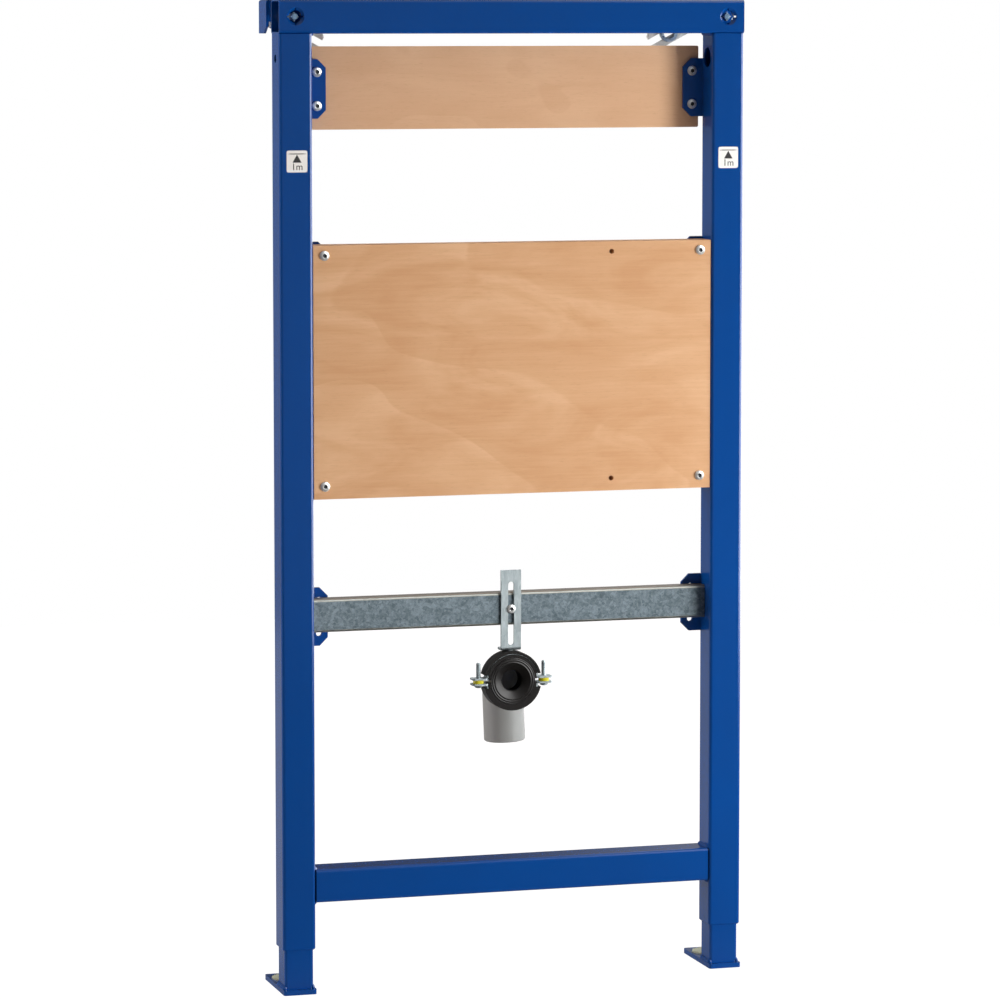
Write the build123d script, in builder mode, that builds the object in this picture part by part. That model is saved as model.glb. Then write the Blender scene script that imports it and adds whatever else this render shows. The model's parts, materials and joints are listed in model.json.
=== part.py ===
from build123d import *
from math import cos, radians, sin
import os

# Utility sink installation frame, in millimetres. X runs across the frame, Y runs from its front
# to the wall, Z is up. The origin is on the floor, at the middle of the width and of the depth.

# Welded tube frame
frame_width = 575.0
frame_top = 1180.0
tube_size = 40.0
tube_wall = 2.0
tube_corner = 4.0
upright_base = 53.0
upright_end_chamfer = 1.5
bottom_beam_base = 109.0
bottom_beam_setback = 1.0
wall_distance = 124.0
screw_hole = 10.0
access_hole = 24.0
side_hole_drop = 69.0

# Pressed collars in the front of the top beam
collar_mouth = 21.0
collar_bore = 15.0
collar_wall = 1.8
collar_depth = 9.0
collar_taper = 3.0
collar_slit = 2.0
collar_rim = 0.6

# Welded tabs
tab_reach = 25.0
tab_height = 70.0
tab_thickness = 4.0
tab_chamfer = 10.0
tab_hole = 7.0
tab_hole_inset = 14.0
tab_hole_pitch = 40.0
upper_tab_drop = 105.0
rail_tab_drop = 3.0

# Boards
upper_board_height = 98.0
upper_board_thickness = 18.0
upper_board_gap = 4.5
upper_board_drop = 104.0
main_board_height = 300.0
main_board_thickness = 33.0
main_board_gap = 0.5
main_board_z = 742.0
main_board_top_inset = 12.0
main_board_bottom_inset = 15.0
board_screw_hole = 7.0
pilot_hole = 6.0
pilot_hole_x = 121.5
board_corner = 2.0

# Support rail
rail_height = 40.0
rail_depth = 16.0
rail_wall = 2.0
rail_bend = 3.0
rail_end_gap = 0.5
rail_z = 451.0
strap_bolt_hole = 7.0

# Telescopic feet
foot_tube_size = 35.0
foot_tube_wall = 2.0
foot_tube_corner = 3.5
foot_tube_length = 260.0
plate_width = 40.0
plate_depth = 100.0
plate_thickness = 6.0
plate_overhang = 4.0
plate_corner = 3.0
floor_disc = 35.0
floor_disc_thickness = 2.0
floor_disc_edge = 0.6
floor_bolt_hole = 11.0

# Wall anchors
rod_diameter = 8.0
rod_tip = 6.6
rod_tip_length = 3.0
rod_front = 5.0
rod_square = 8.5
rod_square_length = 5.0
rod_head = 18.0
rod_head_thickness = 2.0
bracket_sheet = 3.0
bracket_height = 40.0
bracket_width = 32.0
bracket_bend = 3.5
bracket_depth = 37.0
cheek_front_height = 31.0
cheek_toe = 24.0
cheek_corner = 6.0
flange_height = 26.0
arm_angle = 28.0
arm_length = 68.0
arm_width = 26.0
arm_thickness = 3.0
arm_slot = 8.5
arm_slot_start = 27.0
arm_tip_chamfer = 5.0
washer_reach = 42.0
washer_outer = 22.0
washer_inner = 14.5
washer_thickness = 6.0

# Drain bracket, clamp, bend and seal
strap_width = 25.0
strap_thickness = 3.0
strap_top = 498.0
strap_bend = 4.0
strap_foot = 15.0
strap_slot_width = 7.5
strap_slot_length = 77.0
strap_slot_z = 445.5
drain_z = 364.5
clamp_front = 9.0
band_width = 14.5
band_thickness = 2.0
lining_inner = 2.3
lining_outer = 3.2
lining_web = 2.5
lining_lip = 1.3
lining_seam = 0.9
lining_end = 8.0
lining_mid_gap = 2.0
boss_diameter = 6.0
boss_setback = 1.0
ear_reach = 50.0
ear_gap = 4.5
ear_corner = 3.0
clamp_bolt = 6.0
clamp_bolt_x = 41.0
clamp_bolt_top = 387.0
clamp_bolt_head = 10.0
clamp_bolt_head_height = 4.0
spacer_diameter = 12.7
pipe_diameter = 50.0
pipe_wall = 1.8
socket_wall = 2.6
socket_length = 18.0
bend_radius = 27.0
pipe_end_z = 286.0
pipe_end_chamfer = 1.2
elbow_lean = 2.3
seal_front = 8.0
seal_flange = 1.8
seal_wall = 2.2
seal_sleeve_length = 15.0
seal_bore = 25.0
seal_lip = 45.0
seal_funnel_depth = 12.0
seal_neck_length = 12.0

# Clearances and the least inside radius of a bend
least_radius = 0.5
running_gap = 0.3
seat_gap = 0.2

# Places worked out from the sizes above
front_y = (plate_overhang - wall_distance) / 2
column_x = (frame_width - tube_size) / 2
inner_x = frame_width / 2 - tube_size
column_y = front_y + tube_size / 2
beam_base = frame_top - tube_size
beam_axis_z = frame_top - tube_size / 2
side_hole_z = frame_top - side_hole_drop
upper_board_z = frame_top - upper_board_drop
upper_tab_z = frame_top - upper_tab_drop
main_top_row = main_board_z + main_board_height / 2 - main_board_top_inset
main_bottom_row = main_board_z - main_board_height / 2 + main_board_bottom_inset
main_upper_tab_z = main_top_row - tab_hole_pitch / 2
main_lower_tab_z = main_bottom_row + tab_hole_pitch / 2
rail_tab_z = rail_z - rail_tab_drop
tab_front = tube_size - tab_thickness
tab_hole_x = inner_x - tab_hole_inset
head_depth = wall_distance - rod_head_thickness
arm_rear = head_depth - running_gap
arm_front = arm_rear - arm_thickness
bracket_rear = arm_front - running_gap
bracket_front = bracket_rear - bracket_depth
rod_hole = rod_diameter + 2 * running_gap
flange_hole = rod_diameter + 2 * seat_gap
pipe_radius = pipe_diameter / 2
socket_bore = pipe_radius + seat_gap
socket_radius = socket_bore + socket_wall
lining_radius = socket_radius + seat_gap
band_inner = lining_radius + lining_inner + seat_gap
band_outer = band_inner + band_thickness
shell_inner = band_outer + seat_gap
shell_outer = shell_inner + lining_outer
clamp_top = drain_z + shell_outer
strap_rear = tab_front - rail_depth - running_gap
socket_front = seal_front + seal_flange + seat_gap
sides = ((-1, "left"), (1, "right"))


def facing_front(depth, x=0.0, z=0.0):
    """Plane at a depth behind the frame's front, seen from the front with Z up."""
    return Plane(origin=(x, front_y + depth, z), x_dir=(1, 0, 0), z_dir=(0, -1, 0))


def across(x, depth, z):
    """Plane across the frame's width: its x runs to the wall and its y runs up."""
    return Plane(origin=(x, front_y + depth, z), x_dir=(0, 1, 0), z_dir=(1, 0, 0))


def tube_section(plane, size, wall, corner):
    """Square hollow section with rounded corners, centred on a plane."""
    bore = size - 2 * wall
    with BuildSketch(plane) as section:
        RectangleRounded(size, size, corner)
        RectangleRounded(bore, bore, max(corner - wall, least_radius), mode=Mode.SUBTRACT)
    return section.sketch


def disc(plane, diameter):
    """Round outline centred on a plane."""
    with BuildSketch(plane) as outline:
        Circle(diameter / 2)
    return outline.sketch


def tab_outline(side, z):
    """Tab on the inner face of an upright, its free corners cut off, with two screw holes."""
    with BuildSketch(facing_front(tube_size, side * (inner_x - tab_reach / 2), z)) as outline:
        Rectangle(tab_reach, tab_height)
        free_corners = outline.vertices().group_by(Axis.X)[0 if side > 0 else -1]
        chamfer(free_corners, tab_chamfer)
        with Locations((side * (tab_reach / 2 - tab_hole_inset), 0)):
            with GridLocations(0, tab_hole_pitch, 1, 2):
                Circle(tab_hole / 2, mode=Mode.SUBTRACT)
    return outline.sketch


def half_ring(depth, outer, inner, half, from_middle):
    """Upper or lower half of a ring round the drain axis, cut a little way off its middle plane."""
    with BuildSketch(facing_front(depth, 0, drain_z)) as ring:
        Circle(outer)
        Circle(inner, mode=Mode.SUBTRACT)
        with Locations((0, half * (from_middle + outer / 2))):
            Rectangle(2 * outer, outer, mode=Mode.INTERSECT)
    return ring.sketch


os.makedirs("parts", exist_ok=True)

# Uprights: open below for the feet, with a screw hole outside and an access hole inside
for side, word in sides:
    with BuildPart() as upright:
        base = Plane.XY.offset(upright_base).shift_origin((side * column_x, column_y, upright_base))
        extrude(tube_section(base, tube_size, tube_wall, tube_corner), amount=beam_base - upright_base)
        chamfer(upright.faces().sort_by(Axis.Z)[0].outer_wire().edges(), upright_end_chamfer)
        hole_centre = (side * column_x, column_y, side_hole_z)
        outward = Plane(origin=hole_centre, x_dir=(0, 1, 0), z_dir=(side, 0, 0))
        inward = Plane(origin=hole_centre, x_dir=(0, 1, 0), z_dir=(-side, 0, 0))
        extrude(disc(outward, screw_hole), amount=tube_size / 2, mode=Mode.SUBTRACT)
        extrude(disc(inward, access_hole), amount=tube_size / 2, mode=Mode.SUBTRACT)
    upright.part.label = f"{word}_upright"
    export_step(upright.part, f"parts/{word}_upright.step")

# Top beam: open ends, and two collars pressed into the front wall and slit into four petals
with BuildPart() as top_beam:
    beam_end = across(-frame_width / 2, tube_size / 2, beam_axis_z)
    extrude(tube_section(beam_end, tube_size, tube_wall, tube_corner), amount=frame_width)
    for side, word in sides:
        mouth = facing_front(0, side * column_x, beam_axis_z)
        extrude(disc(mouth, collar_mouth), amount=-tube_wall, mode=Mode.SUBTRACT)
        with BuildSketch(Plane(origin=mouth.origin, x_dir=(1, 0, 0), z_dir=(0, 0, 1))) as petal:
            with BuildLine():
                Polyline(
                    (collar_mouth / 2, 0),
                    (collar_bore / 2, collar_taper),
                    (collar_bore / 2, collar_depth),
                    (collar_bore / 2 + collar_wall, collar_depth),
                    (collar_bore / 2 + collar_wall, tube_wall),
                    (collar_mouth / 2, tube_wall),
                    close=True,
                )
            make_face()
        revolve(petal.sketch, axis=Axis(mouth.origin, (0, 1, 0)))
        with BuildSketch(mouth) as slits:
            slit_length = collar_mouth - 2 * collar_rim
            Rectangle(slit_length, collar_slit)
            Rectangle(collar_slit, slit_length)
        extrude(slits.sketch, amount=-collar_depth, mode=Mode.SUBTRACT)
        rear_wall = facing_front(tube_size / 2, side * column_x, beam_axis_z)
        extrude(disc(rear_wall, rod_hole), amount=-tube_size / 2, mode=Mode.SUBTRACT)
top_beam.part.label = "top_beam"
export_step(top_beam.part, "parts/top_beam.step")

# Bottom beam between the uprights
with BuildPart() as bottom_beam:
    beam_depth = bottom_beam_setback + tube_size / 2
    beam_end = across(-inner_x, beam_depth, bottom_beam_base + tube_size / 2)
    extrude(tube_section(beam_end, tube_size, tube_wall, tube_corner), amount=2 * inner_x)
bottom_beam.part.label = "bottom_beam"
export_step(bottom_beam.part, "parts/bottom_beam.step")

# Tabs welded to the uprights, flush with their backs
with BuildPart() as upper_board_tabs:
    for side, word in sides:
        extrude(tab_outline(side, upper_tab_z), amount=tab_thickness)
upper_board_tabs.part.label = "upper_board_tabs"
export_step(upper_board_tabs.part, "parts/upper_board_tabs.step")

with BuildPart() as main_board_tabs:
    for side, word in sides:
        for tab_z in (main_upper_tab_z, main_lower_tab_z):
            extrude(tab_outline(side, tab_z), amount=tab_thickness)
main_board_tabs.part.label = "main_board_tabs"
export_step(main_board_tabs.part, "parts/main_board_tabs.step")

with BuildPart() as rail_tabs:
    for side, word in sides:
        extrude(tab_outline(side, rail_tab_z), amount=tab_thickness)
rail_tabs.part.label = "rail_tabs"
export_step(rail_tabs.part, "parts/rail_tabs.step")

# Upper board, screwed to the backs of its tabs
with BuildPart() as upper_board:
    rear_depth = tube_size + upper_board_thickness
    with BuildSketch(facing_front(rear_depth, 0, upper_board_z)):
        board_width = 2 * (inner_x - upper_board_gap)
        RectangleRounded(board_width, upper_board_height, board_corner)
        with Locations((0, upper_tab_z - upper_board_z)):
            with GridLocations(2 * tab_hole_x, tab_hole_pitch, 2, 2):
                Circle(board_screw_hole / 2, mode=Mode.SUBTRACT)
    extrude(amount=upper_board_thickness)
upper_board.part.label = "upper_board"
export_step(upper_board.part, "parts/upper_board.step")

# Main board, bolted to the fronts of its tabs, with two pilot holes on the right
with BuildPart() as main_board:
    with BuildSketch(facing_front(tab_front, 0, main_board_z)):
        Rectangle(2 * (inner_x - main_board_gap), main_board_height)
        for row in (main_top_row - main_board_z, main_bottom_row - main_board_z):
            with Locations((-tab_hole_x, row), (tab_hole_x, row)):
                Circle(board_screw_hole / 2, mode=Mode.SUBTRACT)
            with Locations((pilot_hole_x, row)):
                Circle(pilot_hole / 2, mode=Mode.SUBTRACT)
    extrude(amount=main_board_thickness)
main_board.part.label = "main_board"
export_step(main_board.part, "parts/main_board.step")

# Support rail: a folded channel, its web to the front and its flanges on the tabs
with BuildPart() as support_rail:
    half_length = inner_x - rail_end_gap
    with BuildSketch(across(-half_length, tab_front - rail_depth, rail_z)) as channel:
        Rectangle(rail_depth, rail_height, align=(Align.MIN, Align.CENTER))
        with Locations((rail_wall, 0)):
            inside_height = rail_height - 2 * rail_wall
            Rectangle(rail_depth, inside_height, align=(Align.MIN, Align.CENTER), mode=Mode.SUBTRACT)
        fillet(channel.vertices().group_by(Axis.X)[1], max(rail_bend - rail_wall, least_radius))
        fillet(channel.vertices().group_by(Axis.X)[0], rail_bend)
    extrude(amount=2 * half_length)
    web = facing_front(tab_front - rail_depth, 0, rail_z)
    extrude(disc(web, strap_bolt_hole), amount=-rail_wall, mode=Mode.SUBTRACT)
support_rail.part.label = "support_rail"
export_step(support_rail.part, "parts/support_rail.step")

# Feet: a tube that slides in the upright, on a plate with a washer disc over its bolt hole
for side, word in sides:
    foot_x = side * column_x
    disc_depth = (tube_size + plate_depth - plate_overhang) / 2

    with BuildPart() as foot_tube:
        base = Plane(origin=(foot_x, column_y, plate_thickness))
        extrude(tube_section(base, foot_tube_size, foot_tube_wall, foot_tube_corner), amount=foot_tube_length)
    foot_tube.part.label = f"{word}_foot_tube"
    export_step(foot_tube.part, f"parts/{word}_foot_tube.step")

    with BuildPart() as foot_plate:
        plate_centre_y = front_y - plate_overhang + plate_depth / 2
        with BuildSketch(Plane(origin=(foot_x, plate_centre_y, 0))):
            RectangleRounded(plate_width, plate_depth, plate_corner)
        extrude(amount=plate_thickness)
        bolt_place = Plane(origin=(foot_x, front_y + disc_depth, 0))
        extrude(disc(bolt_place, floor_bolt_hole), amount=plate_thickness, mode=Mode.SUBTRACT)
    foot_plate.part.label = f"{word}_foot_plate"
    export_step(foot_plate.part, f"parts/{word}_foot_plate.step")

    with BuildPart() as washer_disc:
        disc_base = Plane(origin=(foot_x, front_y + disc_depth, plate_thickness))
        extrude(disc(disc_base, floor_disc), amount=floor_disc_thickness)
        chamfer(washer_disc.faces().sort_by(Axis.Z)[-1].edges(), floor_disc_edge)
        extrude(disc(disc_base, floor_bolt_hole), amount=floor_disc_thickness, mode=Mode.SUBTRACT)
    washer_disc.part.label = f"{word}_floor_disc"
    export_step(washer_disc.part, f"parts/{word}_floor_disc.step")

# Wall anchors: a rod through the beam carries a folded bracket and a fork that turns on it
for side, word in sides:
    anchor_x = side * column_x

    with BuildPart() as wall_rod:
        square_front = rod_front + rod_tip_length
        shaft_front = square_front + rod_square_length
        extrude(disc(facing_front(rod_front, anchor_x, beam_axis_z), rod_tip), amount=-rod_tip_length)
        with BuildSketch(facing_front(square_front, anchor_x, beam_axis_z)):
            Rectangle(rod_square, rod_square, rotation=45)
        extrude(amount=-rod_square_length)
        shaft = disc(facing_front(shaft_front, anchor_x, beam_axis_z), rod_diameter)
        extrude(shaft, amount=-(head_depth - shaft_front))
        extrude(disc(facing_front(head_depth, anchor_x, beam_axis_z), rod_head), amount=-rod_head_thickness)
    wall_rod.part.label = f"{word}_wall_rod"
    export_step(wall_rod.part, f"parts/{word}_wall_rod.step")

    with BuildPart() as wall_bracket:
        web_centre = (anchor_x, front_y + bracket_front + bracket_depth / 2, frame_top - bracket_sheet)
        with BuildSketch(Plane(origin=web_centre)):
            Rectangle(bracket_width, bracket_depth)
        extrude(amount=bracket_sheet)
        cheek_x = side * (column_x + bracket_width / 2)
        with BuildSketch(across(cheek_x, bracket_rear, frame_top)) as cheek:
            with BuildLine():
                Polyline(
                    (0, 0),
                    (-bracket_depth, 0),
                    (-bracket_depth, -cheek_front_height),
                    (-cheek_toe, -bracket_height),
                    (0, -bracket_height),
                    close=True,
                )
            make_face()
            nose = cheek.vertices().group_by(Axis.X)[0].sort_by(Axis.Y)[0]
            toe = cheek.vertices().group_by(Axis.Y)[0].sort_by(Axis.X)[0]
            fillet([nose, toe], cheek_corner)
        extrude(amount=-side * bracket_sheet)
        flange_z = frame_top - flange_height / 2
        flange_rear = bracket_front + bracket_sheet
        with BuildSketch(facing_front(flange_rear, anchor_x, flange_z)):
            Rectangle(bracket_width, flange_height)
        extrude(amount=bracket_sheet)
        rim = wall_bracket.edges().group_by(Axis.Z)[-1]
        fillet(rim.filter_by(Axis.Y).sort_by(Axis.X)[-1 if side > 0 else 0], bracket_bend)
        rod_place = facing_front(flange_rear, anchor_x, beam_axis_z)
        extrude(disc(rod_place, flange_hole), amount=bracket_sheet, mode=Mode.SUBTRACT)
    wall_bracket.part.label = f"{word}_wall_bracket"
    export_step(wall_bracket.part, f"parts/{word}_wall_bracket.step")

    arm_direction = (-side * cos(radians(arm_angle)), 0, -sin(radians(arm_angle)))
    arm_origin = (anchor_x, front_y + arm_rear, beam_axis_z)
    arm_plane = Plane(origin=arm_origin, x_dir=arm_direction, z_dir=(0, -1, 0))

    with BuildPart() as fixing_arm:
        with BuildSketch(arm_plane) as fork:
            Rectangle(arm_length, arm_width, align=(Align.MIN, Align.CENTER))
            tips = fork.vertices().group_by(Axis.X)[-1]
            chamfer(tips, arm_tip_chamfer)
            Circle(arm_width / 2)
            with Locations((arm_slot_start, 0)):
                Circle(arm_slot / 2, mode=Mode.SUBTRACT)
                Rectangle(arm_length, arm_slot, align=(Align.MIN, Align.CENTER), mode=Mode.SUBTRACT)
            Circle(rod_hole / 2, mode=Mode.SUBTRACT)
        extrude(amount=arm_thickness)
    fixing_arm.part.label = f"{word}_fixing_arm"
    export_step(fixing_arm.part, f"parts/{word}_fixing_arm.step")

    with BuildPart() as arm_washer:
        with BuildSketch(arm_plane.offset(arm_thickness)):
            with Locations((washer_reach, 0)):
                Circle(washer_outer / 2)
                Circle(washer_inner / 2, mode=Mode.SUBTRACT)
        extrude(amount=washer_thickness)
    arm_washer.part.label = f"{word}_arm_washer"
    export_step(arm_washer.part, f"parts/{word}_arm_washer.step")

# Slotted strap that hangs from the rail, bent back over the pipe clamp
with BuildPart() as slotted_strap:
    strap_base = clamp_top + seat_gap
    strap_height = strap_top - strap_base
    with BuildSketch(across(-strap_width / 2, strap_rear - strap_thickness, strap_base)) as bent:
        Rectangle(strap_thickness, strap_height, align=Align.MIN)
        Rectangle(strap_foot, strap_thickness, align=Align.MIN)
        inside = bent.vertices().group_by(Axis.Y)[1].sort_by(Axis.X)[0]
        fillet(inside, max(strap_bend - strap_thickness, least_radius))
        fillet(bent.vertices().group_by(Axis.Y)[0].sort_by(Axis.X)[0], strap_bend)
    extrude(amount=strap_width)
    with BuildSketch(facing_front(strap_rear, 0, strap_slot_z)):
        SlotOverall(strap_slot_length, strap_slot_width, rotation=90)
    extrude(amount=strap_thickness, mode=Mode.SUBTRACT)
slotted_strap.part.label = "slotted_strap"
export_step(slotted_strap.part, "parts/slotted_strap.step")

# Pipe clamp: two steel bands with ears, each wrapped in a rubber lining. The upper lining leaves a
# narrow seam at the front, where the band's edge shows
lip_rear = clamp_front + lining_lip
band_rear = lip_rear + seat_gap + band_width
ear_width = band_rear - clamp_front
ear_depth = clamp_front + ear_width / 2
lining_rear = band_rear + seat_gap + lining_web
boss_depth = band_rear - boss_setback - boss_diameter / 2
for half, word in ((1, "upper"), (-1, "lower")):
    with BuildPart() as band:
        extrude(half_ring(band_rear, band_outer, band_inner, half, ear_gap / 2), amount=band_width)
        ear_z = drain_z + half * (ear_gap + band_thickness) / 2
        ear_length = ear_reach - band_inner
        ear_x = band_inner + ear_length / 2
        with BuildSketch(Plane(origin=(0, front_y + ear_depth, ear_z))) as ears:
            with Locations((-ear_x, 0), (ear_x, 0)):
                RectangleRounded(ear_length, ear_width, ear_corner)
            with Locations((-clamp_bolt_x, 0), (clamp_bolt_x, 0)):
                Circle(clamp_bolt / 2 + seat_gap, mode=Mode.SUBTRACT)
        extrude(ears.sketch, amount=band_thickness / 2, both=True)
        if half > 0:
            boss_base = Plane(origin=(0, front_y + boss_depth, drain_z + band_inner + band_thickness / 2))
            extrude(disc(boss_base, boss_diameter), amount=clamp_top + seat_gap - boss_base.origin.Z)
    band.part.label = f"clamp_{word}_band"
    export_step(band.part, f"parts/clamp_{word}_band.step")

    with BuildPart() as lining:
        inner_layer = lining_radius + lining_inner
        full_width = lining_rear - clamp_front
        extrude(half_ring(lining_rear, inner_layer, lining_radius, half, lining_mid_gap), amount=full_width)
        extrude(half_ring(lining_rear, shell_outer, lining_radius, half, lining_end), amount=lining_web)
        extrude(half_ring(lining_rear, shell_outer, shell_inner, half, lining_end), amount=full_width)
        lip_outer = shell_inner - lining_seam if half > 0 else shell_outer
        extrude(half_ring(lip_rear, lip_outer, lining_radius, half, lining_end), amount=lining_lip)
        if half > 0:
            boss_base = Plane(origin=(0, front_y + boss_depth, drain_z + band_inner))
            boss_room = boss_diameter + 2 * running_gap
            extrude(disc(boss_base, boss_room), amount=shell_outer, mode=Mode.SUBTRACT)
    lining.part.label = f"clamp_{word}_lining"
    export_step(lining.part, f"parts/clamp_{word}_lining.step")

bolt_places = [(side * clamp_bolt_x, front_y + ear_depth) for side, word in sides]
with BuildPart() as clamp_bolts:
    seat_z = drain_z - ear_gap / 2 - band_thickness
    with BuildSketch(Plane.XY.offset(seat_z)) as shanks:
        with Locations(*bolt_places):
            Circle(clamp_bolt / 2)
    extrude(shanks.sketch, amount=clamp_bolt_top - seat_z)
    with BuildSketch(Plane.XY.offset(seat_z)) as heads:
        with Locations(*bolt_places):
            RegularPolygon(clamp_bolt_head / 2, 6, major_radius=False)
    extrude(heads.sketch, amount=-clamp_bolt_head_height)
clamp_bolts.part.label = "clamp_bolts"
export_step(clamp_bolts.part, "parts/clamp_bolts.step")

with BuildPart() as clamp_spacers:
    with BuildSketch(Plane.XY.offset(drain_z - ear_gap / 2)):
        with Locations(*bolt_places):
            Circle(spacer_diameter / 2)
            Circle(clamp_bolt / 2 + seat_gap, mode=Mode.SUBTRACT)
    extrude(amount=ear_gap)
clamp_spacers.part.label = "clamp_spacers"
export_step(clamp_spacers.part, "parts/clamp_spacers.step")

# Drain bend: a socket in the clamp, a tight bend and a spigot that points down
lean = radians(elbow_lean)
bend_start = socket_front + socket_length
bend_plane = Plane(
    origin=(0, front_y + bend_start, drain_z), x_dir=(0, 1, 0), z_dir=(cos(lean), 0, sin(lean))
)
spigot_drop = drain_z - pipe_end_z
with BuildPart() as drain_elbow:
    with BuildLine(bend_plane) as bend_path:
        CenterArc((0, -bend_radius), bend_radius, 90, -90)
        Line((bend_radius, -bend_radius), (bend_radius, -spigot_drop))
    sweep(disc(facing_front(bend_start, 0, drain_z), pipe_diameter), path=bend_path.wires()[0])
    extrude(disc(facing_front(socket_front, 0, drain_z), 2 * socket_radius), amount=-socket_length)
    chamfer(drain_elbow.edges().filter_by(GeomType.CIRCLE).sort_by(Axis.Z)[0], pipe_end_chamfer)
    bore = disc(facing_front(bend_start, 0, drain_z), pipe_diameter - 2 * pipe_wall)
    sweep(bore, path=bend_path.wires()[0], mode=Mode.SUBTRACT)
    socket_mouth = facing_front(socket_front, 0, drain_z)
    socket_floor = socket_length - pipe_wall
    extrude(disc(socket_mouth, 2 * socket_bore), amount=-socket_floor, mode=Mode.SUBTRACT)
    extrude(disc(socket_mouth, pipe_diameter - 2 * pipe_wall), amount=-socket_length, mode=Mode.SUBTRACT)
drain_elbow.part.label = "drain_elbow"
export_step(drain_elbow.part, "parts/drain_elbow.step")

# Rubber seal: a flange on the socket's rim, a sleeve inside it and a funnel to the neck
with BuildPart() as drain_seal:
    flange_back = seal_front + seal_flange
    sleeve_back = flange_back + seal_sleeve_length
    neck_front = seal_front + seal_funnel_depth
    neck_outer = seal_bore / 2 + seal_wall
    sleeve_inner = pipe_radius - seal_wall
    with BuildSketch(Plane(origin=(0, front_y, drain_z))) as profile:
        with BuildLine():
            Polyline(
                (socket_radius, seal_front),
                (socket_radius, flange_back),
                (pipe_radius, flange_back),
                (pipe_radius, sleeve_back),
                (sleeve_inner, sleeve_back),
                (sleeve_inner, flange_back + 2 * seal_wall),
                (neck_outer, neck_front + seal_wall),
                (neck_outer, neck_front + seal_neck_length),
                (seal_bore / 2, neck_front + seal_neck_length),
                (seal_bore / 2, neck_front),
                (seal_lip / 2, seal_front),
                close=True,
            )
        make_face()
    revolve(axis=Axis((0, front_y, drain_z), (0, 1, 0)))
drain_seal.part.label = "drain_seal"
export_step(drain_seal.part, "parts/drain_seal.step")
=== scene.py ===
import json
import math
from functools import cache, partial, reduce

import bmesh
import bpy
import numpy as np
from bpy.props import FloatProperty, FloatVectorProperty, PointerProperty
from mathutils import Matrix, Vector


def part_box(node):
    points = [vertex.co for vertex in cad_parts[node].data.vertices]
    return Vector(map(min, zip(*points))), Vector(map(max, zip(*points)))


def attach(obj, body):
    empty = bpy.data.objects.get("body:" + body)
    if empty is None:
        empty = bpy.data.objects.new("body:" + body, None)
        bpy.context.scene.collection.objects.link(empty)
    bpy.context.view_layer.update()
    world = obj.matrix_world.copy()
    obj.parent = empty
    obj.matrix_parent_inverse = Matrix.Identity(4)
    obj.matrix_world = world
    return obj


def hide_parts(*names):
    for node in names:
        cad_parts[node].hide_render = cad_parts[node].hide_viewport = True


bl_info = {
    "name": "Utility Sink Installation Frame",
    "version": (1, 0, 0),
    "blender": (4, 5, 0),
    "location": "3D View > Sidebar > Sink Frame",
    "description": "Finishes, bolts, welds, labels and studio for a utility sink installation frame",
    "category": "Object",
}

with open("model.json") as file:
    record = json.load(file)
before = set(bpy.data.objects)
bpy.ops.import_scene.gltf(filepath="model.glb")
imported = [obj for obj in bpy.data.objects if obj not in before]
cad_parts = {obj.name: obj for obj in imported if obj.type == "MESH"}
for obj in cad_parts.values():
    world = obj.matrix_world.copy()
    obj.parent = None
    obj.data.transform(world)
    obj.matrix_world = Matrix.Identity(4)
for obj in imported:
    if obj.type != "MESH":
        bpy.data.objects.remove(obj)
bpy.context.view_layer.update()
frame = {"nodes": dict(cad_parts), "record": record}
SIDES = ((-1, "left"), (1, "right"))
ACROSS = np.array((1.0, 0.0, 0.0))
BACK = np.array((0.0, 1.0, 0.0))
UP = np.array((0.0, 0.0, 1.0))


def tone(red, green, blue):
    """Linear colour of an sRGB triple counted from 0 to 255."""
    share = np.array((red, green, blue)) / 255
    linear = np.where(share <= 0.04045, share / 12.92, ((share + 0.055) / 1.055) ** 2.4)
    return tuple(float(v) for v in linear)


def colour(name, description, default):
    """A colour that the panel shows with a picker."""
    return FloatVectorProperty(
        name=name, description=description, subtype="COLOR", size=3, min=0.0, max=1.0, default=default
    )


def length(name, description, default):
    """A length in metres."""
    return FloatProperty(
        name=name, description=description, unit="LENGTH", min=0.0, precision=5, default=default
    )


def amount(name, description, default, **limits):
    """A number with its subtype, unit or limits."""
    return FloatProperty(name=name, description=description, default=default, **limits)


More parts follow.
